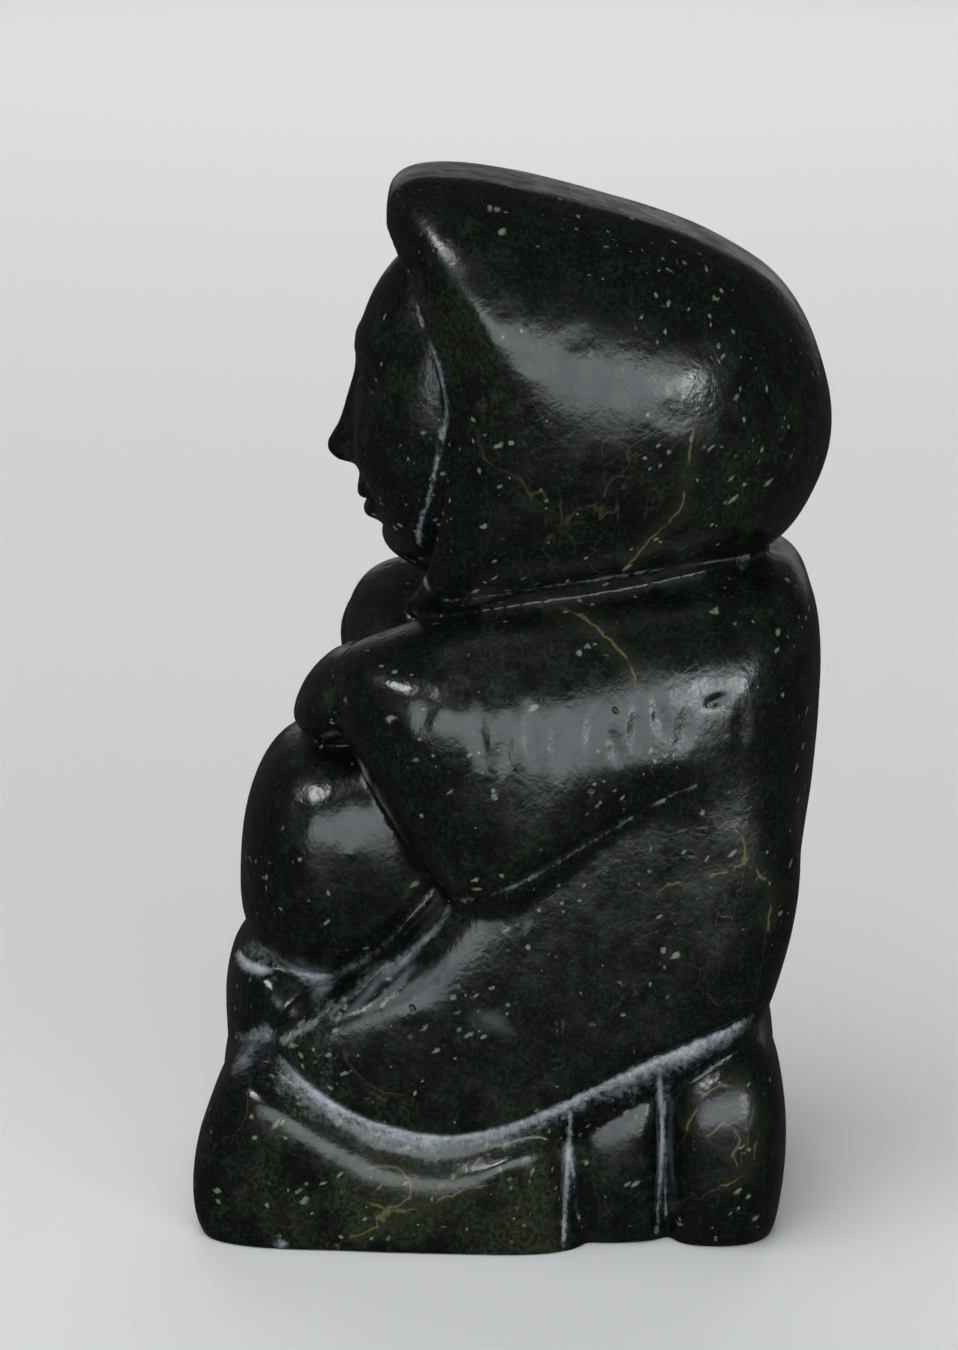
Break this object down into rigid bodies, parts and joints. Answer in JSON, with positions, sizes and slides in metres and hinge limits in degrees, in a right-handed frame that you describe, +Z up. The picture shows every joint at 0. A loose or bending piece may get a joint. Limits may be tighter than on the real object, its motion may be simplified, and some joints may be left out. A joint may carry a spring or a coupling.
{
  "type": "kneeling figure stone statuette",
  "caption": "Kneeling figure in a hooded parka carved from a solid block of dark green stone, mittened hands folded over a rounded bundle, resting on its flat underside.",
  "frame": {"origin": "middle of the bounding box on the flat underside, at z = 0", "axes": "+Z up through the hood; the figure faces -Y and its left side is +X"},
  "size_m": [0.0976, 0.1106, 0.18],
  "materials": {
    "green_stone": "Nearly black green serpentine with pale olive flecks and thin rusty veins, hand polished to a waxy satin gloss; pale stone dust lies in the filed creases."
  },
  "bodies": {
    "root": {"kneeling_figure": "green_stone"}
  },
  "joints": []
}
